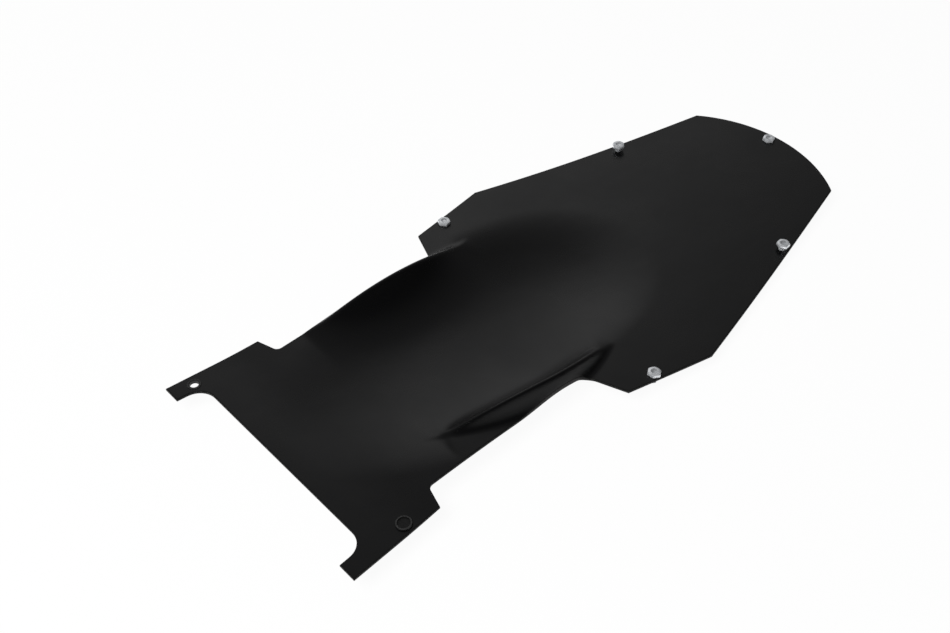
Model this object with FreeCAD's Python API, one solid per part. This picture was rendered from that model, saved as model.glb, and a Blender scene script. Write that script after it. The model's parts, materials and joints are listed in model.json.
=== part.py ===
"""Motorcycle undertray: one glass-fibre moulding with its five bolts, a rubber grommet and a rubber plug.

The tray lies smooth side up, as on a bench. X is across, Y runs from the front ears to the tail and Z is up.
Stations along Y are counted from the tips of the front ears. The origin of the finished part is under the
middle of the tray, on the bench.
"""
import FreeCAD, Part
import math
import os

from FreeCAD import Vector

os.makedirs("parts", exist_ok=True)

# Plan outline: half widths from the centre line, and stations from the ear tips
overall_length = 585.5
ear_tip_half = 112.3
ear_tip_width = 15.0
ear_length = 22.3
ear_inner_taper = 2.0
ear_rear_half = 106.5
ear_rear_station = 78.5
ear_inner_radius = 15.0
waist_half = 88.2
waist_start_station = 84.0
waist_front_radius = 5.0
waist_end_station = 238.5
waist_rear_radius = 14.0
shoulder_half = 120.0
shoulder_station = 251.5
widest_half = 135.0
widest_station = 329.5
tail_half = 77.0
tail_station = 560.0

# Laminate
wall = 2.2

# Tyre basin: a shallow dish that gets wider, steeper at its sides and a little off centre towards the tail
basin_station = 210.0
basin_depth = 14.0
front_length = 150.0
front_power = 1.5
tail_length = 165.0
tail_power = 2.2
side_half = 84.0
front_side_rise = 11.0
tail_side_rise = 18.0
flare_station = 200.0
flare_length = 80.0
flare_rate = 0.12
tail_shift = -12.0

# Ridges: the sides of the dish climb above the plate along the waist and drop steeply to its edge.
# The right ridge is set back from the edge at its front, and the left one runs along the edge.
ridge_station = 195.0
ridge_half_length = 80.0
ridge_cap = 26.0
toe_station = 212.0
toe_half_length = 88.8
toe_middle_half = 91.8
right_toe_start_half = 62.6
left_toe_start_half = 88.0
flank_share = 0.915
right_flank_rise = 28.0
right_flank_power = 9.0
left_flank_rise = 22.0
left_flank_power = 5.0
ridge_outer_slope = 1.7
ridge_crest_blend = 7.0
ridge_toe_blend = 6.0
basin_end_blend = 5.0

# The plate is lifted a little along the waist and dished along the tail
waist_lift = 3.5
lift_start_station = 40.0
tail_sag = 5.5
sag_start_station = 250.0
sag_end_station = 556.0

# Control net of the moulded surface
net_margin = 30.0
fine_step = 4.0
fine_start_half = 68.0
fine_end_half = 92.0
flare_end_half = 128.0
coarse_steps = 4
flare_steps = 3
station_step = 20.0
tail_step = 50.0
fit_rounds = 8
slope_step = 0.5

# Reach of the cutting shapes past the sheet
trim_reach = 100.0
hole_reach = 10.0

# Bolts with M6 hexagon heads: three are seated, and the two longer ones at the sides stand on the bench.
# A thinner neck under the head lets each one turn in the plate.
bolt_d = 6.0
bolt_hole_d = 6.4
bolt_neck_d = 5.4
bolt_neck_margin = 0.2
fixing_bolt_length = 8.0
side_bolt_length = 14.0
bolt_head_flats = 10.0
bolt_head_height = 4.0
bolt_head_face_d = 9.5
bolt_head_dish_d = 5.0
bolt_head_dish_floor_d = 3.0
bolt_head_dish_depth = 0.5
bolt_head_chamfer_deg = 30.0
bolt_end_chamfer = 0.8
bolt_edge_distance = 6.0
front_bolt_station = 280.0
side_bolt_station = 470.0
side_bolt_standoff = 3.4
rear_bolt_offset = -6.0
rear_bolt_inset = 8.0
seat_gap = 0.1

# Rubber grommet in the left ear, rubber plug in the right ear
grommet_half = 101.8
grommet_station = 18.0
grommet_hole_d = 8.6
grommet_bore_d = 7.0
grommet_flange_d = 10.6
grommet_flange_height = 0.5
plug_half = 100.3
plug_station = 51.8
plug_hole_d = 9.0
plug_flange_d = 11.6
plug_flange_height = 1.0
plug_recess_d = 9.4
plug_recess_floor_d = 8.8
plug_recess_depth = 0.8
plug_tail_d = 10.2
plug_tip_d = 7.0
plug_tail_height = 2.0
rubber_chamfer = 0.2


def smooth_min(a, b, blend):
    """The lower of two heights, with a rounded change from one to the other."""
    share = min(1.0, max(0.0, 0.5 + 0.5 * (b - a) / blend))
    return b + (a - b) * share - blend * share * (1.0 - share)


def plate_height(station):
    """The plate is flat at the front, lifts along the waist and sags along the tail."""
    if station < sag_start_station:
        along = max(0.0, station - lift_start_station) / (sag_start_station - lift_start_station)
        return waist_lift * math.sin(math.pi * along)
    along = (station - sag_start_station) / (sag_end_station - sag_start_station)
    return -tail_sag * math.sin(math.pi * along)


def dish_height(x, station):
    """The dish, which goes on rising past the plate."""
    front = max(0.0, basin_station - station) / front_length
    tail = max(0.0, station - basin_station) / tail_length
    floor = basin_depth * (front ** front_power + tail ** tail_power - 1.0)
    behind = min(1.0, max(0.0, station - flare_station) / flare_length)
    share = behind ** 2 * (3.0 - 2.0 * behind)
    side_rise = front_side_rise + (tail_side_rise - front_side_rise) * share
    half = side_half + flare_rate * max(0.0, station - flare_station)
    return floor + side_rise * ((x - tail_shift * share) / half) ** 2


def ridge_swell(station):
    """1 at the middle of the ridges, 0 at their ends and below 0 beyond them."""
    return 1.0 - ((station - ridge_station) / ridge_half_length) ** 2


def ridge_rise(station):
    """How high the ridges stand at a station: 1 at their middle, fading out to 0 at their ends."""
    return max(0.0, ridge_swell(station)) ** 2


def toe_swell(station):
    return 1.0 - ((station - toe_station) / toe_half_length) ** 2


def toe_half(x, swell):
    """The toe line, where a ridge comes down to the plate, bows outwards in plan."""
    start = left_toe_start_half if x < 0.0 else right_toe_start_half
    return start + (toe_middle_half - start) * swell


def flank_height(x, station):
    """The inner flank of a ridge, which is broader on the left."""
    rise = left_flank_rise if x < 0.0 else right_flank_rise
    power = left_flank_power if x < 0.0 else right_flank_power
    half = flank_share * toe_half(x, max(0.0, toe_swell(station)))
    return rise * ridge_rise(station) * (abs(x) / half) ** power


def outer_height(x, station):
    """The outer face of a ridge, down to the plate."""
    slope = ridge_outer_slope * (toe_half(x, toe_swell(station)) - abs(x))
    face = min(slope, ridge_cap * ridge_swell(station))
    return -smooth_min(0.0, -face, ridge_toe_blend)


def top_height(x, station):
    """Height of the smooth face over the flat front of the plate."""
    inner = dish_height(x, station) + flank_height(x, station)
    blend = basin_end_blend + (ridge_crest_blend - basin_end_blend) * ridge_rise(station)
    return plate_height(station) + smooth_min(inner, outer_height(x, station), blend)


def back_height(x, station):
    """Height of the rough face: the wall is measured square to the smooth face."""
    slope_x = (top_height(x + slope_step, station) - top_height(x - slope_step, station)) / (2.0 * slope_step)
    slope_y = (top_height(x, station + slope_step) - top_height(x, station - slope_step)) / (2.0 * slope_step)
    return top_height(x, station) - wall * math.sqrt(1.0 + slope_x ** 2 + slope_y ** 2)


def spaced(start, end, count):
    return [start + (end - start) * i / count for i in range(count)]


def net_scale(x, station):
    """The lines of the net follow the toe lines of the ridges."""
    return toe_half(x, max(0.0, toe_swell(station))) / toe_middle_half


def across_knots():
    """Knots across the tray, close together where the ridges are."""
    outer = (widest_half + net_margin) / net_scale(widest_half, overall_length)
    fine_count = round((fine_end_half - fine_start_half) / fine_step)
    half = spaced(0.0, fine_start_half, coarse_steps)
    half += spaced(fine_start_half, fine_end_half, fine_count)
    half += spaced(fine_end_half, flare_end_half, flare_steps)
    half += [flare_end_half, outer]
    return [-value for value in reversed(half[1:])] + half


def along_knots():
    """Knots along the tray, further apart behind the basin."""
    start = -net_margin
    basin_end = basin_station + tail_length
    end = overall_length + net_margin
    basin_count = round((basin_end - start) / station_step)
    tail_count = round((end - basin_end) / tail_step)
    return spaced(start, basin_end, basin_count) + spaced(basin_end, end, tail_count) + [end]


def pole_places(knots):
    """Each control point stands at the mean of three knots."""
    full = [knots[0]] * 3 + knots + [knots[-1]] * 3
    return [sum(full[i + 1:i + 4]) / 3.0 for i in range(len(full) - 4)]


def end_multiplicities(knots):
    return [4] + [1] * (len(knots) - 2) + [4]


def bicubic_surface(pole_rows):
    x_knots = across_knots()
    y_knots = along_knots()
    surface = Part.BSplineSurface()
    surface.buildFromPolesMultsKnots(pole_rows, end_multiplicities(x_knots), end_multiplicities(y_knots),
                                     x_knots, y_knots, False, False, 3, 3)
    return surface


def moulded_face(height):
    """A bicubic face whose control points are raised or lowered until it keeps to its height map."""
    x_places = pole_places(across_knots())
    y_places = pole_places(along_knots())
    poles = [[Vector(x * net_scale(x, y), y, 0) for y in y_places] for x in x_places]
    for _ in range(fit_rounds):
        surface = bicubic_surface(poles)
        for x, row in zip(x_places, poles):
            for y, pole in zip(y_places, row):
                point = surface.value(x, y)
                pole.z += height(point.x, point.y) - point.z
    return bicubic_surface(poles).toShape()


def moulded_slab():
    """The laminate before trimming, between its smooth face and its rough face."""
    top = moulded_face(top_height)
    back = moulded_face(back_height)
    sides = [Part.makeRuledSurface(a, b) for a, b in zip(top.Edges, back.Edges)]
    shell = Part.makeShell([top, back] + sides)
    shell.sewShape()
    slab = Part.Solid(shell)
    if slab.Volume < 0.0:
        slab.reverse()
    return slab


def rounded_corner(before, corner, after, radius):
    """The start, middle and end of the arc that rounds a corner of the outline."""
    to_before = (before - corner).normalize()
    to_after = (after - corner).normalize()
    half_angle = to_before.getAngle(to_after) / 2.0
    reach = radius / math.tan(half_angle)
    inward = (to_before + to_after).normalize()
    middle = corner + inward * (radius / math.sin(half_angle) - radius)
    return corner + to_before * reach, middle, corner + to_after * reach


def half_outline():
    """Corners of the right half, from the front edge to the tail, each with its radius."""
    return [
        (Vector(ear_tip_half - ear_tip_width - ear_inner_taper, ear_length, 0), ear_inner_radius),
        (Vector(ear_tip_half - ear_tip_width, 0, 0), 0.0),
        (Vector(ear_tip_half, 0, 0), 0.0),
        (Vector(ear_rear_half, ear_rear_station, 0), 0.0),
        (Vector(waist_half, waist_start_station, 0), waist_front_radius),
        (Vector(waist_half, waist_end_station, 0), waist_rear_radius),
        (Vector(shoulder_half, shoulder_station, 0), 0.0),
        (Vector(widest_half, widest_station, 0), 0.0),
        (Vector(tail_half, tail_station, 0), 0.0),
    ]


def mirrored(point):
    return Vector(-point.x, point.y, point.z)


def outline_wire():
    """The trimmed edge of the tray: straight runs, rounded inner corners and a bowed tail."""
    right = half_outline()
    left = [(mirrored(corner), radius) for corner, radius in reversed(right)]
    corners = right + left
    edges = []
    last = None
    for i, (corner, radius) in enumerate(corners):
        start = middle = end = corner
        if radius:
            after = corners[(i + 1) % len(corners)][0]
            start, middle, end = rounded_corner(corners[i - 1][0], corner, after, radius)
        if i == len(right):
            edges.append(Part.Arc(last, Vector(0, overall_length, 0), start).toShape())
        elif last:
            edges.append(Part.LineSegment(last, start).toShape())
        else:
            first = start
        if radius:
            edges.append(Part.Arc(start, middle, end).toShape())
        last = end
    edges.append(Part.LineSegment(last, first).toShape())
    return Part.Wire(edges)


def edge_half(station):
    """Half width of the tail plate's straight edges at a station."""
    if station < widest_station:
        share = (station - shoulder_station) / (widest_station - shoulder_station)
        return shoulder_half + (widest_half - shoulder_half) * share
    share = (station - widest_station) / (tail_station - widest_station)
    return widest_half + (tail_half - widest_half) * share


def paired_places(station):
    """A bolt near each straight edge of the tail plate."""
    half = edge_half(station) - bolt_edge_distance
    return [(-half, station), (half, station)]


def fixing_bolt_places():
    return paired_places(front_bolt_station) + [(rear_bolt_offset, overall_length - rear_bolt_inset)]


def side_bolt_places():
    return paired_places(side_bolt_station)


def plate_slope_deg(station):
    rise = plate_height(station + slope_step) - plate_height(station - slope_step)
    return math.degrees(math.atan(rise / (2.0 * slope_step)))


def seated(shape, x, station):
    """Stand a shape that was made on the origin square to the plate."""
    shape.rotate(Vector(0, 0, 0), Vector(1, 0, 0), plate_slope_deg(station))
    shape.translate(Vector(x, station, plate_height(station)))
    return shape


def revolved(points):
    """A turned solid from its half section, given as radius and height."""
    corners = [Vector(r, 0, z) for r, z in points]
    section = Part.Face(Part.makePolygon(corners + corners[:1]))
    return section.revolve(Vector(0, 0, 0), Vector(0, 0, 1), 360.0)


def hexagon_bolt(length, standoff):
    """A bolt that points down, with the seat of its head at height 0."""
    corner_radius = bolt_head_flats / math.sqrt(3.0)
    face_radius = bolt_head_face_d / 2.0
    chamfer = (corner_radius - face_radius) * math.tan(math.radians(bolt_head_chamfer_deg))
    turns = [math.radians(60.0 * i) for i in range(7)]
    corners = [Vector(corner_radius * math.cos(turn), corner_radius * math.sin(turn), 0) for turn in turns]
    prism = Part.Face(Part.makePolygon(corners)).extrude(Vector(0, 0, bolt_head_height))
    dish_floor = bolt_head_height - bolt_head_dish_depth
    turned = revolved([(0, 0), (corner_radius, 0), (corner_radius, bolt_head_height - chamfer),
                       (face_radius, bolt_head_height), (bolt_head_dish_d / 2.0, bolt_head_height),
                       (bolt_head_dish_floor_d / 2.0, dish_floor), (0, dish_floor)])
    neck = standoff + wall + bolt_neck_margin
    neck_radius = bolt_neck_d / 2.0
    shank_radius = bolt_d / 2.0
    shank = revolved([(0, 0), (neck_radius, 0), (neck_radius, -neck), (shank_radius, -neck),
                      (shank_radius, bolt_end_chamfer - length), (shank_radius - bolt_end_chamfer, -length),
                      (0, -length)])
    return prism.common(turned).fuse(shank).removeSplitter()


def bolt_group(places, length, standoff):
    """Like bolts, each square to the plate with its head at a height over it."""
    bolts = []
    for x, station in places:
        bolt = hexagon_bolt(length, standoff)
        bolt.translate(Vector(0, 0, standoff + seat_gap))
        bolts.append(seated(bolt, x, station))
    return Part.makeCompound(bolts)


def rubber_grommet():
    """A ring with a groove that grips the edge of its hole."""
    bore = grommet_bore_d / 2.0
    groove = grommet_hole_d / 2.0
    flange = grommet_flange_d / 2.0
    upper = seat_gap
    lower = -wall - seat_gap
    top = upper + grommet_flange_height
    bottom = lower - grommet_flange_height
    ring = revolved([(bore, bottom + rubber_chamfer), (bore + rubber_chamfer, bottom),
                     (flange - rubber_chamfer, bottom), (flange, bottom + rubber_chamfer), (flange, lower),
                     (groove, lower), (groove, upper), (flange, upper), (flange, top - rubber_chamfer),
                     (flange - rubber_chamfer, top), (bore + rubber_chamfer, top),
                     (bore, top - rubber_chamfer)])
    return seated(ring, -grommet_half, grommet_station)


def rubber_plug():
    """A blind plug with a dished head, a groove for its hole and a tapered tail."""
    groove = plug_hole_d / 2.0
    flange = plug_flange_d / 2.0
    recess = plug_recess_d / 2.0
    upper = seat_gap
    lower = -wall - seat_gap
    top = upper + plug_flange_height
    bottom = lower - plug_tail_height
    floor = top - plug_recess_depth
    plug = revolved([(0, bottom), (plug_tip_d / 2.0, bottom), (plug_tail_d / 2.0, lower), (groove, lower),
                     (groove, upper), (flange, upper), (flange, top - rubber_chamfer),
                     (flange - rubber_chamfer, top), (recess, top), (plug_recess_floor_d / 2.0, floor),
                     (0, floor)])
    return seated(plug, plug_half, plug_station)


def round_hole(diameter, x, station):
    cutter = Part.makeCylinder(diameter / 2.0, 2.0 * hole_reach, Vector(0, 0, -hole_reach))
    return seated(cutter, x, station)


def undertray_shell():
    """The laminate trimmed to its outline and drilled."""
    outline = outline_wire()
    outline.translate(Vector(0, 0, -trim_reach))
    trimmed = moulded_slab().common(Part.Face(outline).extrude(Vector(0, 0, 2.0 * trim_reach)))
    holes = [round_hole(bolt_hole_d, x, station) for x, station in fixing_bolt_places() + side_bolt_places()]
    holes.append(round_hole(grommet_hole_d, -grommet_half, grommet_station))
    holes.append(round_hole(plug_hole_d, plug_half, plug_station))
    return trimmed.cut(holes)


def rest_tilt_deg():
    """Angle at which the bowl and the side bolts stand on the bench together, with the tail down."""
    end_height = plate_height(side_bolt_station) + side_bolt_standoff - side_bolt_length
    bowl_stations = range(round(basin_station), round(basin_station + tail_length))
    bowl_places = [(x, station) for x in (0.0, tail_shift / 2.0, tail_shift) for station in bowl_stations]
    steepest = max((end_height - back_height(x, station)) / (side_bolt_station - station)
                   for x, station in bowl_places)
    return math.degrees(math.atan(steepest))


nodes = {
    "undertray_shell": undertray_shell(),
    "fixing_bolts": bolt_group(fixing_bolt_places(), fixing_bolt_length, 0.0),
    "side_bolts": bolt_group(side_bolt_places(), side_bolt_length, side_bolt_standoff),
    "ear_grommet": rubber_grommet(),
    "ear_plug": rubber_plug(),
}
for shape in nodes.values():
    shape.rotate(Vector(0, 0, 0), Vector(1, 0, 0), -rest_tilt_deg())
whole = Part.makeCompound(list(nodes.values())).optimalBoundingBox(False)
print("tilt", round(rest_tilt_deg(), 4), "deg, moved along", round(-whole.Center.y, 4),
      "up", round(-whole.ZMin, 4))
for name, shape in nodes.items():
    shape.translate(Vector(0, -whole.Center.y, -whole.ZMin))
    box = shape.optimalBoundingBox(False)
    print(name, len(shape.Solids), "solids, volume", round(shape.Volume), "mm3, from z",
          round(box.ZMin, 2), "to", round(box.ZMax, 2), "valid", shape.isValid())
    shape.exportStep("parts/" + name + ".step")
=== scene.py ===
"""Looks of the motorcycle undertray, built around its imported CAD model.

Shapes are worked out in the plate's own frame: millimetres, X across, Y (the station) from the ear tips
to the tail and Z up from the smooth face at the flat front. One matrix then takes them to the frame of
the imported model.
"""

import json
import math

import bmesh
import bpy
import numpy as np
from mathutils import Euler, Matrix, Vector
from mathutils.geometry import delaunay_2d_cdt
from mathutils.kdtree import KDTree


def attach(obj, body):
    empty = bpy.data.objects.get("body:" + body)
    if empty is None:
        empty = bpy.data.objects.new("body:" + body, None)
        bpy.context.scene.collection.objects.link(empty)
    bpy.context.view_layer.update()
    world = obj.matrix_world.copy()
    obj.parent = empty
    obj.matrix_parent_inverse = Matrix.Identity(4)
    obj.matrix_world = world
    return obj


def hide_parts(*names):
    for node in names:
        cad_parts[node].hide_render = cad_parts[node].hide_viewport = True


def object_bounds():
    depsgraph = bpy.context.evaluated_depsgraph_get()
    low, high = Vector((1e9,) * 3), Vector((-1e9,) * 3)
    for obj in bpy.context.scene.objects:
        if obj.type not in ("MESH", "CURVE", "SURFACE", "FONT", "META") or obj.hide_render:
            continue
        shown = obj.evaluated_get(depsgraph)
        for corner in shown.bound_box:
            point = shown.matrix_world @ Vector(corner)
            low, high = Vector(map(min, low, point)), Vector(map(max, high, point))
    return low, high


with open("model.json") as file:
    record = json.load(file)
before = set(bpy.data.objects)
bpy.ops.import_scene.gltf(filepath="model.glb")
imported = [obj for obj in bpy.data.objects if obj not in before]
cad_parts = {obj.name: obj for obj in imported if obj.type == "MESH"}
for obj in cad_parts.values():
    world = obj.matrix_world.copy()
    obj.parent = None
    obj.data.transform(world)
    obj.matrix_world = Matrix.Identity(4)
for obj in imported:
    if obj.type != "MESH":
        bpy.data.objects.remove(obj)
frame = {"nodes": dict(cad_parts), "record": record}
cad_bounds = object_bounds()
record = frame["record"]
nodes = frame["nodes"]
MM = 0.001

# The left ear's bore ties the plate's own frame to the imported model
EAR_BORE = "left_ear_bore"
EAR_BORE_MIDDLE = Vector((-101.8, 18.0, -1.1))

# Laminate
WALL = 2.2
EDGE_RADIUS = 0.4
EDGE_STEPS = 3
EDGE_SUPPORT = 1.2

# Height map of the smooth face, as in the CAD model.
# LIFT_BLEND and SOFTENING are the scene's own: they ease the creases.
BASIN_STATION = 210.0
BASIN_DEPTH = 14.0
FRONT_LENGTH = 150.0
FRONT_POWER = 1.5
TAIL_LENGTH = 165.0
TAIL_POWER = 2.2
SIDE_HALF = 84.0
FRONT_SIDE_RISE = 11.0
TAIL_SIDE_RISE = 18.0
FLARE_STATION = 200.0
FLARE_LENGTH = 80.0
FLARE_RATE = 0.12
TAIL_SHIFT = -12.0
RIDGE_STATION = 195.0
RIDGE_HALF_LENGTH = 80.0
RIDGE_CAP = 26.0
TOE_STATION = 212.0
TOE_HALF_LENGTH = 88.8
TOE_MIDDLE_HALF = 91.8
RIGHT_TOE_START_HALF = 62.6
LEFT_TOE_START_HALF = 88.0
FLANK_SHARE = 0.915
RIGHT_FLANK_RISE = 28.0
RIGHT_FLANK_POWER = 9.0
LEFT_FLANK_RISE = 22.0
LEFT_FLANK_POWER = 5.0
RIDGE_OUTER_SLOPE = 1.7
RIDGE_CREST_BLEND = 7.0
RIDGE_TOE_BLEND = 6.0
BASIN_END_BLEND = 5.0
WAIST_LIFT = 3.5
LIFT_START_STATION = 40.0
LIFT_BLEND = 30.0
TAIL_SAG = 5.5
SAG_START_STATION = 250.0
SAG_END_STATION = 556.0
SOFTENING = 1.2

# Density of the sheet's mesh. A rim share is how far the grid keeps from the edge strip, in spacings.
EDGE_SPACING = 2.0
GRID_SPACING = 3.2
RIDGE_SPACING = 1.5
RIDGE_ZONE_HALVES = (52.0, 96.0)
RIDGE_ZONE_STATIONS = (105.0, 320.0)
GRID_RIM_SHARE = 0.6
RIDGE_RIM_SHARE = 0.8
PLAN_TOLERANCE = 1e-5

# Reading the CAD model's edges: closer points are one, and a face that leans up less is a wall
MERGE_DISTANCE = 0.001
WALL_LEAN = 0.2

# M6 bolts: the head is lower than in the CAD model, as it looks in the photograph
BOLT_FLATS = 10.0
BOLT_HEAD_HEIGHT = 2.8
BOLT_FACE_RADIUS = 4.75
BOLT_DISH_RADIUS = 2.6
BOLT_DISH_DEPTH = 0.5
BOLT_DISH_SHARES = (0.15, 0.5, 0.8, 1.0)
BOLT_CHAMFER_DEG = 30.0
BOLT_EDGE_RADIUS = 0.25
BOLT_SEGMENTS = 72
BOLT_SHARP_DEG = 35.0
THREAD_RADIUS = 2.98
THREAD_PITCH = 1.0
THREAD_DEPTH = 0.55
THREAD_STEPS = 8
THREAD_NARROWING = 1.15
NECK_MARGIN = 0.2
SIDE_STANDOFF = 3.4
END_CHAMFER = 0.8

# Mount on each bolt, and how far its head is turned in degrees
FIXING_PLACES = [("front_left_shank", 10.0), ("front_right_shank", 35.0), ("rear_shank", 20.0)]
SIDE_PLACES = [("side_left_shank", 50.0), ("side_right_shank", 5.0)]

# Rubber ear fittings: where the rim's painted highlight starts, as a share of the radius
RUBBER_RIM_SHARE = 0.82

# Light. Each row of four maps a span of a value, from and to, to a span of glow, from and to.
# The room and the window go by how far a direction faces the window. The walls go by its height,
# and WALL_SIDE keeps them to the sides that face away from the window.
WINDOW_SIDE = (-0.72, 0.50, 0.48)
ROOM_GLOW = (0.2, 0.9, 0.015, 0.10)
WINDOW_GLOW = (0.88, 1.0, 0.0, 0.42)
WALL_GLOW = (0.3, 0.7, 0.2, 0.0)
WALL_SIDE = (-0.55, -0.1, 1.0, 0.0)
FLOOR_GLOW = 0.95
FLOOR_HALF = 6.0
FILL_PLACE = (0.0, -1.4, 1.85)
FILL_AIM = (0.0, 0.0, 0.0)
FILL_SIZE = 1.2
FILL_POWER = 55.0

# Photographer's camera, in the plate's own frame
CAMERA_PLACE = Vector((497.3, -244.8, 668.7))
CAMERA_AZIMUTH_DEG = 47.739
CAMERA_ELEVATION_DEG = 43.991
SENSOR_WIDTH = 36.0
FOCAL_LENGTH_PIXELS = 1227.0
IMAGE_WIDTH_PIXELS = 950.0


def mount(name):
    """The record's mount of that name."""
    return next(entry for entry in record["mounts"] if entry["name"] == name)


def plate_matrix():
    """From millimetres in the plate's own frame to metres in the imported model."""
    bore = mount(EAR_BORE)
    axis = Vector(bore["axis"])
    turn = Matrix.Rotation(-math.atan2(axis.y, axis.z), 4, "X")
    scale = Matrix.Diagonal((MM, MM, MM, 1.0))
    shift = Vector(bore["pos_m"]) - turn @ scale @ EAR_BORE_MIDDLE
    return Matrix.Translation(shift) @ turn @ scale


PLATE = plate_matrix()


def smooth_min(a, b, blend):
    """The lower of two heights, with a rounded change from one to the other."""
    share = np.clip(0.5 + 0.5 * (b - a) / blend, 0.0, 1.0)
    return b + (a - b) * share - blend * share * (1.0 - share)


def plate_height(station):
    """Flat at the front, lifted along the waist, sagging along the tail and kicked up at its end."""
    ahead = np.maximum(0.0, station - LIFT_START_STATION)
    bent = np.where(ahead < LIFT_BLEND, ahead ** 2 / (2.0 * LIFT_BLEND), ahead - LIFT_BLEND / 2.0)
    lifted = np.minimum(1.0, bent / (SAG_START_STATION - LIFT_START_STATION - LIFT_BLEND / 2.0))
    sagged = np.maximum(0.0, station - SAG_START_STATION) / (SAG_END_STATION - SAG_START_STATION)
    return WAIST_LIFT * np.sin(math.pi * lifted) - TAIL_SAG * np.sin(math.pi * sagged)


def swell(station, middle, half_length):
    """1 at the middle of a ridge's stretch and 0 at its ends."""
    return 1.0 - ((station - middle) / half_length) ** 2


def dish_height(x, station):
    """The shallow dish, which gets wider, steeper and a little off centre towards the tail."""
    front = np.maximum(0.0, BASIN_STATION - station) / FRONT_LENGTH
    tail = np.maximum(0.0, station - BASIN_STATION) / TAIL_LENGTH
    behind = np.clip((station - FLARE_STATION) / FLARE_LENGTH, 0.0, 1.0)
    share = behind ** 2 * (3.0 - 2.0 * behind)
    side_rise = FRONT_SIDE_RISE + (TAIL_SIDE_RISE - FRONT_SIDE_RISE) * share
    half = SIDE_HALF + FLARE_RATE * np.maximum(0.0, station - FLARE_STATION)
    floor = BASIN_DEPTH * (front ** FRONT_POWER + tail ** TAIL_POWER - 1.0)
    return floor + side_rise * ((x - TAIL_SHIFT * share) / half) ** 2


def sharp_height(x, station):
    """Height of the smooth face before its creases are softened."""
    left = x < 0.0
    toe_start = np.where(left, LEFT_TOE_START_HALF, RIGHT_TOE_START_HALF)
    toe_half = toe_start + (TOE_MIDDLE_HALF - toe_start) * swell(station, TOE_STATION, TOE_HALF_LENGTH)
    ridge_swell = swell(station, RIDGE_STATION, RIDGE_HALF_LENGTH)
    rise = np.maximum(0.0, ridge_swell) ** 2
    outer_face = np.minimum(RIDGE_OUTER_SLOPE * (toe_half - np.abs(x)), RIDGE_CAP * ridge_swell)
    ridge = -smooth_min(0.0, -outer_face, RIDGE_TOE_BLEND)
    flank_rise = np.where(left, LEFT_FLANK_RISE, RIGHT_FLANK_RISE) * rise
    flank_power = np.where(left, LEFT_FLANK_POWER, RIGHT_FLANK_POWER)
    across = np.abs(x) / (FLANK_SHARE * np.maximum(toe_start, toe_half))
    bowl = dish_height(x, station) + flank_rise * across ** flank_power
    blend = BASIN_END_BLEND + (RIDGE_CREST_BLEND - BASIN_END_BLEND) * rise
    return plate_height(station) + smooth_min(bowl, ridge, blend)


def top_height(x, station):
    """Height of the smooth face: a mean over a small patch, as resin fills a crease."""
    taps = (-SOFTENING, 0.0, SOFTENING)
    return np.mean([sharp_height(x + dx, station + dy) for dx in taps for dy in taps], axis=0)


def back_height(x, station):
    """Height of the rough face, one wall behind the smooth face."""
    step = SOFTENING
    slope_x = (top_height(x + step, station) - top_height(x - step, station)) / (2.0 * step)
    slope_y = (top_height(x, station + step) - top_height(x, station - step)) / (2.0 * step)
    return top_height(x, station) - WALL * np.sqrt(1.0 + slope_x ** 2 + slope_y ** 2)


def new_piece(name, vertices, faces, materials, face_materials=None, matrix=PLATE):
    """A smooth-shaded piece from points in the plate's own frame."""
    mesh = bpy.data.meshes.new(name)
    mesh.from_pydata([tuple(v) for v in vertices], [], faces)
    mesh.transform(matrix)
    for material in materials:
        mesh.materials.append(material)
    if face_materials is not None:
        mesh.polygons.foreach_set("material_index", face_materials)
    mesh.polygons.foreach_set("use_smooth", [True] * len(faces))
    mesh.update()
    piece = bpy.data.objects.new(name, mesh)
    bpy.context.scene.collection.objects.link(piece)
    return piece


def chained(edges):
    """Vertex loops of a set of closed edge chains."""
    beside = {}
    for edge in edges:
        a, b = edge.verts
        beside.setdefault(a, []).append(b)
        beside.setdefault(b, []).append(a)
    loops = []
    left = set(beside)
    while left:
        start = min(left, key=lambda v: v.index)
        loop = [start]
        left.remove(start)
        while True:
            ahead = [v for v in beside[loop[-1]] if v in left]
            if not ahead:
                break
            loop.append(ahead[0])
            left.remove(ahead[0])
        loops.append(np.array([v.co.xy for v in loop]))
    return loops


def signed_area(loop):
    """Area inside a loop, above 0 where it runs anticlockwise."""
    x, y = loop.T
    return 0.5 * np.sum(x * np.roll(y, -1) - y * np.roll(x, -1))


def divided(loop, spacing):
    """The loop with its long runs divided evenly."""
    points = []
    for a, b in zip(loop, np.roll(loop, -1, axis=0)):
        count = max(1, math.ceil(np.linalg.norm(b - a) / spacing))
        points += [a + (b - a) * i / count for i in range(count)]
    return np.array(points)


def sheet_loops(node):
    """Edges of the CAD model's smooth face in plan: outline anticlockwise, drilled holes clockwise."""
    solid = bmesh.new()
    solid.from_mesh(node.data)
    bmesh.ops.transform(solid, matrix=PLATE.inverted(), verts=solid.verts)
    bmesh.ops.remove_doubles(solid, verts=solid.verts, dist=MERGE_DISTANCE)
    bmesh.ops.recalc_face_normals(solid, faces=solid.faces)
    rims = []
    for edge in solid.edges:
        leans = sorted(face.normal.z for face in edge.link_faces)
        if len(leans) == 2 and abs(leans[0]) < WALL_LEAN < leans[1]:
            rims.append(edge)
    loops = sorted(chained(rims), key=lambda loop: -abs(signed_area(loop)))
    solid.free()
    turned = []
    for i, loop in enumerate(loops):
        wanted = 1.0 if i == 0 else -1.0
        if signed_area(loop) * wanted <= 0.0:
            loop = loop[::-1]
        turned.append(divided(loop, EDGE_SPACING))
    return turned


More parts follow.
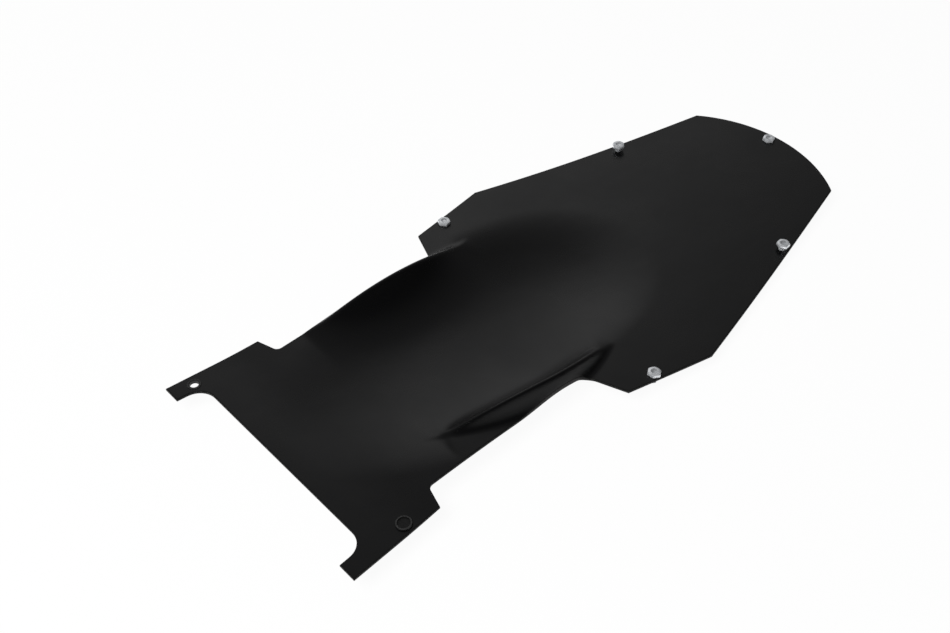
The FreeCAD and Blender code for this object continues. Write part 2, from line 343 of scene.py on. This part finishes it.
def inward(loop):
    """Offset of each point of a loop for one millimetre into the sheet."""
    before = loop - np.roll(loop, 1, axis=0)
    after = np.roll(loop, -1, axis=0) - loop
    normals = []
    for run in (before, after):
        run = run / np.linalg.norm(run, axis=1)[:, None]
        normals.append(np.stack([-run[:, 1], run[:, 0]], axis=1))
    mean = normals[0] + normals[1]
    return 2.0 * mean / np.sum(mean * mean, axis=1)[:, None]


def grid_points(spacing, wanted):
    """A grid of even triangles over the tray: those of its points that are wanted."""
    low = PLATE.inverted() @ Vector(cad_bounds[0])
    high = PLATE.inverted() @ Vector(cad_bounds[1])
    points = []
    row_step = spacing * math.sqrt(0.75)
    rows = math.ceil((high.y - low.y) / row_step)
    columns = math.ceil((high.x - low.x) / spacing)
    for j in range(rows):
        y = low.y + j * row_step
        for i in range(columns):
            x = low.x + (i + 0.5 * (j % 2)) * spacing
            if wanted(x, y):
                points.append((x, y))
    return points


def in_ridge_zone(x, y):
    """Whether a place lies along a ridge, where the mesh is finer."""
    near, far = RIDGE_ZONE_HALVES
    start, end = RIDGE_ZONE_STATIONS
    return near < abs(x) < far and start < y < end


def clear_of(points, loops, distance):
    """The points that keep a distance from the loops."""
    rim = np.concatenate(loops)
    tree = KDTree(len(rim))
    for i, (x, y) in enumerate(rim):
        tree.insert((x, y, 0.0), i)
    tree.balance()
    return [p for p in points if tree.find((p[0], p[1], 0.0))[2] > distance]


def within(loop, points):
    """Which points lie inside a loop: those with an odd number of its edges to their right."""
    x, y = points.T
    found = np.zeros(len(points), dtype=bool)
    for (ax, ay), (bx, by) in zip(loop, np.roll(loop, -1, axis=0)):
        to_right = ((x - ax) * (by - ay) < (y - ay) * (bx - ax)) == (by > ay)
        found ^= ((ay > y) != (by > y)) & to_right
    return found


def sheet_plan(loops):
    """Triangles that fill the sheet inside its edge strip, and each edge point's place among them."""
    rings = [loop + EDGE_SUPPORT * inward(loop) for loop in loops]
    inner = grid_points(RIDGE_SPACING, in_ridge_zone)
    inner = clear_of(inner, rings, RIDGE_RIM_SHARE * RIDGE_SPACING)
    outer = grid_points(GRID_SPACING, lambda x, y: not in_ridge_zone(x, y))
    outer = clear_of(outer, rings, GRID_RIM_SHARE * GRID_SPACING)
    edges = []
    count = 0
    for ring in rings:
        edges += [(count + i, count + (i + 1) % len(ring)) for i in range(len(ring))]
        count += len(ring)
    points = [Vector(p) for ring in rings for p in ring] + [Vector(p) for p in inner + outer]
    inside_outline = 1
    plan = delaunay_2d_cdt(points, edges, [], inside_outline, PLAN_TOLERANCE)
    places, _, faces, sources, _, _ = plan
    middles = np.array([np.mean([places[i] for i in face], axis=0) for face in faces])
    drilled = np.any([within(ring, middles) for ring in rings[1:]], axis=0)
    faces = [face for face, gone in zip(faces, drilled) if not gone]
    made_from = {old: new for new, olds in enumerate(sources) for old in olds}
    used = sorted({i for face in faces for i in face})
    order = {old: new for new, old in enumerate(used)}
    triangles = [tuple(order[i] for i in face) for face in faces]
    return np.array([places[i][:] for i in used]), triangles, [order[made_from[i]] for i in range(count)]


def edge_rows(loop):
    """Rows of the sheet's rounded edge, from the smooth face round to the rough face."""
    offset = inward(loop)
    rows = []
    turns = [0.5 * math.pi * i / EDGE_STEPS for i in range(EDGE_STEPS + 1)]
    for turn in turns:
        place = loop + EDGE_RADIUS * (1.0 - math.sin(turn)) * offset
        drop = EDGE_RADIUS * (1.0 - math.cos(turn))
        rows.append(np.column_stack([place, top_height(*place.T) - drop]))
    for turn in reversed(turns):
        place = loop + EDGE_RADIUS * (1.0 - math.sin(turn)) * offset
        rise = EDGE_RADIUS * (1.0 - math.cos(turn))
        rows.append(np.column_stack([place, back_height(*place.T) + rise]))
    return rows


def undertray_skin(materials):
    """The moulding: a smooth face, a rounded cut edge and a rough face."""
    smooth, cut, rough = range(3)
    loops = sheet_loops(nodes["undertray_shell"])
    places, triangles, rim = sheet_plan(loops)
    x, y = places.T
    vertices = [np.column_stack([places, top_height(x, y)]), np.column_stack([places, back_height(x, y)])]
    faces = list(triangles)
    kinds = [smooth] * len(faces)
    faces += [tuple(len(places) + i for i in reversed(face)) for face in triangles]
    kinds += [rough] * len(triangles)
    count = 2 * len(places)
    start = 0
    for loop in loops:
        size = len(loop)
        ring = rim[start:start + size]
        start += size
        rows = edge_rows(loop)
        vertices += rows
        indices = [[count + k * size + i for i in range(size)] for k in range(len(rows))]
        count += len(rows) * size
        indices = [ring] + indices + [[len(places) + i for i in ring]]
        last = len(indices) - 2
        for k, (upper, lower) in enumerate(zip(indices, indices[1:])):
            kind = smooth if k == 0 else rough if k == last else cut
            for i in range(size):
                j = (i + 1) % size
                faces.append((upper[i], lower[i], lower[j], upper[j]))
                kinds.append(kind)
    return new_piece("undertray_skin", np.concatenate(vertices), faces, materials, kinds)


def bolt_head_radius(angle):
    """Distance from the axis to the side of the hexagon, with slightly worn corners."""
    sector = math.radians(60.0)
    from_flat = (angle + sector / 2.0) % sector - sector / 2.0
    worn_corner = BOLT_FLATS / math.sqrt(3.0) - BOLT_EDGE_RADIUS / 2.0
    return min(BOLT_FLATS / 2.0 / math.cos(from_flat), worn_corner)


def bolt_head_rows(angles):
    """Rings of a head from the middle of its dish to its seat."""
    slope = math.tan(math.radians(BOLT_CHAMFER_DEG))
    rows = []
    for share in BOLT_DISH_SHARES:
        depth = BOLT_DISH_DEPTH * (1.0 - share ** 4)
        rows.append([(share * BOLT_DISH_RADIUS, BOLT_HEAD_HEIGHT - depth)] * len(angles))
    for radius in (BOLT_DISH_RADIUS + BOLT_EDGE_RADIUS, BOLT_FACE_RADIUS - BOLT_EDGE_RADIUS):
        rows.append([(radius, BOLT_HEAD_HEIGHT)] * len(angles))
    sides = [bolt_head_radius(a) for a in angles]
    falls = [max(0.0, side - BOLT_FACE_RADIUS) * slope for side in sides]
    chamfer = [BOLT_HEAD_HEIGHT - fall - BOLT_EDGE_RADIUS for fall in falls]
    rows.append([(side - BOLT_EDGE_RADIUS, z + BOLT_EDGE_RADIUS) for side, z in zip(sides, chamfer)])
    rows.append([(side, z - BOLT_EDGE_RADIUS) for side, z in zip(sides, chamfer)])
    rows.append([(side, BOLT_EDGE_RADIUS) for side in sides])
    rows.append([(side - BOLT_EDGE_RADIUS, 0.0) for side in sides])
    return rows


def thread_rows(angles, length):
    """Rings of a threaded shank, from under the head to its chamfered end."""
    rows = [[(THREAD_RADIUS, 0.0)] * len(angles)]
    count = round(length / THREAD_PITCH * THREAD_STEPS)
    for i in range(1, count + 1):
        depth = length * i / count
        limit = THREAD_RADIUS - max(0.0, depth - (length - END_CHAMFER))
        row = []
        for angle in angles:
            phase = (depth / THREAD_PITCH + angle / (2.0 * math.pi)) % 1.0
            groove = THREAD_DEPTH * max(0.0, 1.0 - abs(2.0 * phase - 1.0) * THREAD_NARROWING)
            row.append((min(THREAD_RADIUS - groove, limit), -depth))
        rows.append(row)
    return rows


def bolt_shape(length):
    """Points, faces and kinds of face of a bolt that points down, with its seat at height 0."""
    segments = BOLT_SEGMENTS
    angles = [2.0 * math.pi * i / segments for i in range(segments)]
    rows = bolt_head_rows(angles) + thread_rows(angles, length)
    vertices = [(r * math.cos(a), r * math.sin(a), z) for row in rows for a, (r, z) in zip(angles, row)]
    # Dished faces take the second material, a darker copy of the zinc that paints shade into the dish.
    plated, dished = range(2)
    faces = [tuple(range(segments))]
    kinds = [dished]
    for k in range(len(rows) - 1):
        for i in range(segments):
            j = (i + 1) % segments
            upper = k * segments
            lower = upper + segments
            faces.append((upper + i, lower + i, lower + j, upper + j))
        kinds += [dished if k < len(BOLT_DISH_SHARES) else plated] * segments
    last = (len(rows) - 1) * segments
    faces.append(tuple(reversed(range(last, last + segments))))
    kinds.append(plated)
    return vertices, faces, kinds


def bolt_matrix(name, neck, turn_deg):
    """Where a bolt's seat stands, from the record's mount on its free end."""
    pin = mount(name)
    axis = Vector(pin["axis"])
    seat = Vector(pin["pos_m"]) - axis * (pin["dims"]["length_mm"] / 2.0 + neck) * MM
    stand = (-axis).to_track_quat("Z", "Y").to_matrix().to_4x4()
    spin = Matrix.Rotation(math.radians(turn_deg), 4, "Z")
    return Matrix.Translation(seat) @ stand @ spin @ Matrix.Diagonal((MM, MM, MM, 1.0))


def bolt_piece(name, places, standoff, materials):
    """A group of like bolts, each turned as it was left."""
    neck = WALL + NECK_MARGIN + standoff
    vertices = []
    faces = []
    kinds = []
    for mount_name, turn_deg in places:
        length = mount(mount_name)["dims"]["length_mm"] + neck + END_CHAMFER
        points, rings, ring_kinds = bolt_shape(length)
        matrix = bolt_matrix(mount_name, neck, turn_deg)
        faces += [tuple(len(vertices) + i for i in ring) for ring in rings]
        vertices += [matrix @ Vector(p) for p in points]
        kinds += ring_kinds
    piece = new_piece(name, vertices, faces, materials, kinds, Matrix.Identity(4))
    piece.data.set_sharp_from_angle(angle=math.radians(BOLT_SHARP_DEG))
    return piece


def node_tree(name):
    """A new material with its node tree and its main shader."""
    material = bpy.data.materials.new(name)
    material.use_nodes = True
    tree = material.node_tree
    return material, tree, tree.nodes["Principled BSDF"]


def add(tree, kind, **values):
    """A shader node with some of its properties and input values set."""
    node = tree.nodes.new(kind)
    for key, value in values.items():
        if hasattr(node, key):
            setattr(node, key, value)
        else:
            node.inputs[key.replace("_", " ")].default_value = value
    return node


def object_noise(tree, scale, detail=4.0, roughness=0.5):
    """Noise in metres of the object, so that its grain has a real size."""
    place = add(tree, "ShaderNodeTexCoord")
    noise = add(tree, "ShaderNodeTexNoise", Scale=scale, Detail=detail, Roughness=roughness)
    tree.links.new(place.outputs["Object"], noise.inputs["Vector"])
    return noise


def ramp(tree, source, low, high, at_low, at_high):
    """Maps one span of a value to another, limited to it."""
    node = add(tree, "ShaderNodeMapRange", interpolation_type="SMOOTHSTEP")
    tree.links.new(source, node.inputs["Value"])
    for key, value in (("From Min", low), ("From Max", high), ("To Min", at_low), ("To Max", at_high)):
        node.inputs[key].default_value = value
    return node.outputs["Result"]


def bump(tree, height, strength, distance, below=None):
    """Normals of a fine relief, laid over those of a coarser one where it is given."""
    node = add(tree, "ShaderNodeBump", Strength=strength, Distance=distance)
    tree.links.new(height, node.inputs["Height"])
    if below is not None:
        tree.links.new(below, node.inputs["Normal"])
    return node.outputs["Normal"]


def mixed(tree, factor, first, second):
    """A colour between two."""
    first_socket, second_socket, result_socket = 6, 7, 2
    node = add(tree, "ShaderNodeMix", data_type="RGBA")
    tree.links.new(factor, node.inputs["Factor"])
    node.inputs[first_socket].default_value = first
    node.inputs[second_socket].default_value = second
    return node.outputs[result_socket]


def gel_coat():
    """Black gel-coat: a glossy skin with orange peel, faint smears and a little dust."""
    material, tree, shader = node_tree("gel_coat")
    dust = object_noise(tree, 420.0, 2.0)
    specks = ramp(tree, dust.outputs["Fac"], 0.80, 0.84, 0.0, 0.5)
    colour = mixed(tree, specks, (0.003, 0.003, 0.0032, 1.0), (0.12, 0.12, 0.115, 1.0))
    tree.links.new(colour, shader.inputs["Base Color"])
    smears = object_noise(tree, 9.0, 6.0, 0.6)
    tree.links.new(ramp(tree, smears.outputs["Fac"], 0.3, 0.7, 0.24, 0.34), shader.inputs["Roughness"])
    shader.inputs["IOR"].default_value = 1.5
    waves = object_noise(tree, 26.0, 2.0)
    peel = object_noise(tree, 700.0, 2.0)
    normal = bump(tree, waves.outputs["Fac"], 0.10, 0.002)
    tree.links.new(bump(tree, peel.outputs["Fac"], 0.06, 0.0003, normal), shader.inputs["Normal"])
    return material


def cut_edge():
    """The sanded edge of the laminate: duller than the gel-coat, with paler fibre ends."""
    material, tree, shader = node_tree("cut_edge")
    fibres = object_noise(tree, 900.0, 3.0)
    share = ramp(tree, fibres.outputs["Fac"], 0.45, 0.75, 0.0, 1.0)
    colour = mixed(tree, share, (0.006, 0.006, 0.006, 1.0), (0.03, 0.03, 0.028, 1.0))
    tree.links.new(colour, shader.inputs["Base Color"])
    shader.inputs["Roughness"].default_value = 0.55
    shader.inputs["Specular IOR Level"].default_value = 0.15
    tree.links.new(bump(tree, fibres.outputs["Fac"], 0.4, 0.0002), shader.inputs["Normal"])
    return material


def fibre_back():
    """The back of the laminate as it comes off the mould: resin over chopped strands."""
    material, tree, shader = node_tree("fibre_back")
    place = add(tree, "ShaderNodeTexCoord")
    strands = add(tree, "ShaderNodeTexVoronoi", feature="DISTANCE_TO_EDGE", Scale=140.0)
    warp = object_noise(tree, 60.0, 3.0)
    moved = add(tree, "ShaderNodeVectorMath", operation="MULTIPLY_ADD")
    tree.links.new(warp.outputs["Color"], moved.inputs[0])
    moved.inputs[1].default_value = (0.02, 0.02, 0.02)
    tree.links.new(place.outputs["Object"], moved.inputs[2])
    tree.links.new(moved.outputs["Vector"], strands.inputs["Vector"])
    share = ramp(tree, strands.outputs["Distance"], 0.0, 0.25, 0.0, 1.0)
    colour = mixed(tree, share, (0.02, 0.02, 0.019, 1.0), (0.009, 0.009, 0.009, 1.0))
    tree.links.new(colour, shader.inputs["Base Color"])
    shader.inputs["Roughness"].default_value = 0.5
    normal = bump(tree, warp.outputs["Fac"], 0.5, 0.0015)
    tree.links.new(bump(tree, strands.outputs["Distance"], 0.5, 0.0006, normal), shader.inputs["Normal"])
    return material


def zinc(name, metallic):
    """Bright zinc plate, a little stained and clouded."""
    material, tree, shader = node_tree(name)
    stain = object_noise(tree, 350.0, 4.0)
    share = ramp(tree, stain.outputs["Fac"], 0.4, 0.7, 0.0, 1.0)
    colour = mixed(tree, share, (0.93, 0.95, 0.98, 1.0), (0.66, 0.69, 0.72, 1.0))
    tree.links.new(colour, shader.inputs["Base Color"])
    tree.links.new(ramp(tree, stain.outputs["Fac"], 0.3, 0.7, 0.22, 0.4), shader.inputs["Roughness"])
    shader.inputs["Metallic"].default_value = metallic
    tree.links.new(bump(tree, stain.outputs["Fac"], 0.1, 0.0002), shader.inputs["Normal"])
    return material


def rubber(name, dark, pale):
    """Black rubber with a fine matt grain between two greys."""
    material, tree, shader = node_tree(name)
    grain = object_noise(tree, 1500.0, 3.0)
    share = ramp(tree, grain.outputs["Fac"], 0.35, 0.65, 0.0, 1.0)
    colour = mixed(tree, share, (dark, dark, dark, 1.0), (pale, pale, pale, 1.0))
    tree.links.new(colour, shader.inputs["Base Color"])
    shader.inputs["Roughness"].default_value = 0.55
    tree.links.new(bump(tree, grain.outputs["Fac"], 0.3, 0.0001), shader.inputs["Normal"])
    return material


def combined(tree, operation, first, second):
    """Two values joined by a math operation."""
    node = add(tree, "ShaderNodeMath", operation=operation)
    tree.links.new(first, node.inputs[0])
    tree.links.new(second, node.inputs[1])
    return node.outputs["Value"]


def background_rays(tree):
    """1 for rays that show the background, straight or in a reflection, and 0 for those that light."""
    path = add(tree, "ShaderNodeLightPath")
    total = path.outputs["Is Camera Ray"]
    for name in ("Is Glossy Ray", "Is Transmission Ray"):
        total = combined(tree, "MAXIMUM", total, path.outputs[name])
    return total


def stage_floor():
    """A wide white floor under the tray, on which the shadow shows faintly."""
    half = FLOOR_HALF
    corners = [(-half, -half, 0.0), (half, -half, 0.0), (half, half, 0.0), (-half, half, 0.0)]
    material, tree, shader = node_tree("floor")
    shader.inputs["Base Color"].default_value = (0.92, 0.92, 0.92, 1.0)
    shader.inputs["Roughness"].default_value = 0.9
    shader.inputs["Specular IOR Level"].default_value = 0.0
    white = add(tree, "ShaderNodeEmission", Color=(1.0, 1.0, 1.0, 1.0), Strength=1.0)
    share = add(tree, "ShaderNodeMath", operation="MULTIPLY")
    tree.links.new(background_rays(tree), share.inputs[0])
    share.inputs[1].default_value = FLOOR_GLOW
    blend = add(tree, "ShaderNodeMixShader")
    tree.links.new(share.outputs["Value"], blend.inputs["Fac"])
    tree.links.new(shader.outputs["BSDF"], blend.inputs[1])
    tree.links.new(white.outputs["Emission"], blend.inputs[2])
    tree.links.new(blend.outputs["Shader"], tree.nodes["Material Output"].inputs["Surface"])
    floor = new_piece("floor", corners, [(0, 1, 2, 3)], [material], matrix=Matrix.Identity(4))


def studio_world():
    """A dim room with a window at the back left and pale walls on the far sides from it."""
    world = bpy.data.worlds.new("studio")
    world.use_nodes = True
    tree = world.node_tree
    place = add(tree, "ShaderNodeTexCoord")
    facing = add(tree, "ShaderNodeVectorMath", operation="DOT_PRODUCT")
    tree.links.new(place.outputs["Generated"], facing.inputs[0])
    facing.inputs[1].default_value = Vector(WINDOW_SIDE).normalized()
    room = ramp(tree, facing.outputs["Value"], *ROOM_GLOW)
    window = ramp(tree, facing.outputs["Value"], *WINDOW_GLOW)
    parts = add(tree, "ShaderNodeSeparateXYZ")
    tree.links.new(place.outputs["Generated"], parts.inputs["Vector"])
    low = ramp(tree, parts.outputs["Z"], *WALL_GLOW)
    away = ramp(tree, facing.outputs["Value"], *WALL_SIDE)
    walls = combined(tree, "MULTIPLY", low, away)
    total = combined(tree, "ADD", combined(tree, "ADD", room, window), walls)
    background = tree.nodes["Background"]
    background.inputs["Color"].default_value = (1.0, 1.0, 1.0, 1.0)
    tree.links.new(total, background.inputs["Strength"])
    bpy.context.scene.world = world


def soft_box(name, place, aim, size, power):
    """A square soft light that faces a point and leaves no highlight of its own."""
    light = bpy.data.lights.new(name, "AREA")
    light.shape = "SQUARE"
    light.size = size
    light.energy = power
    lamp = bpy.data.objects.new(name, light)
    lamp.location = place
    lamp.rotation_euler = (Vector(aim) - Vector(place)).to_track_quat("-Z", "Y").to_euler()
    lamp.visible_glossy = False
    bpy.context.scene.collection.objects.link(lamp)


def photographers_camera():
    """The camera as it stood for the photograph."""
    camera = bpy.data.cameras.new("camera")
    camera.sensor_width = SENSOR_WIDTH
    camera.lens = FOCAL_LENGTH_PIXELS * SENSOR_WIDTH / IMAGE_WIDTH_PIXELS
    holder = bpy.data.objects.new("camera", camera)
    pitch = math.radians(90.0 - CAMERA_ELEVATION_DEG)
    turn = Euler((pitch, 0.0, math.radians(CAMERA_AZIMUTH_DEG))).to_matrix().to_4x4()
    place, spin, _ = (PLATE @ Matrix.Translation(CAMERA_PLACE) @ turn).decompose()
    holder.location = place
    holder.rotation_euler = spin.to_euler()
    bpy.context.scene.collection.objects.link(holder)
    bpy.context.scene.camera = holder


def rubber_fitting(node, materials):
    """The CAD node in rubber, with the rim of its upper flange painted pale as a highlight."""
    mesh = node.data
    mesh.materials.clear()
    for material in materials:
        mesh.materials.append(material)
    points = [PLATE.inverted() @ vertex.co for vertex in mesh.vertices]
    middle = sum(points, Vector()) / len(points)
    reach = max((point - middle).xy.length for point in points)
    for face in mesh.polygons:
        place = PLATE.inverted() @ face.center
        on_rim = place.z > 0.0 and (place - middle).xy.length > RUBBER_RIM_SHARE * reach
        face.material_index = int(on_rim)


def dressed(piece, node):
    """The piece stands for a CAD node and moves with the part."""
    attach(piece, "root")
    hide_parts(node)


dressed(undertray_skin([gel_coat(), cut_edge(), fibre_back()]), "undertray_shell")
# The second zinc, more metallic and so darker under the fill lamp, goes on the head's dish as painted
# shade.
zinc_plate = [zinc("zinc", 0.6), zinc("dish_shade_zinc", 0.8)]
dressed(bolt_piece("fixing_bolt_group", FIXING_PLACES, 0.0, zinc_plate), "fixing_bolts")
dressed(bolt_piece("side_bolt_group", SIDE_PLACES, SIDE_STANDOFF, zinc_plate), "side_bolts")
# The paler rubber goes on the flange rims as a painted highlight.
rubbers = (rubber("rubber", 0.004, 0.009), rubber("rim_highlight_rubber", 0.016, 0.036))
for name in ("ear_grommet", "ear_plug"):
    rubber_fitting(nodes[name], rubbers)

stage_floor()
studio_world()
soft_box("fill", FILL_PLACE, FILL_AIM, FILL_SIZE, FILL_POWER)
photographers_camera()
bpy.context.scene.view_settings.view_transform = "Standard"
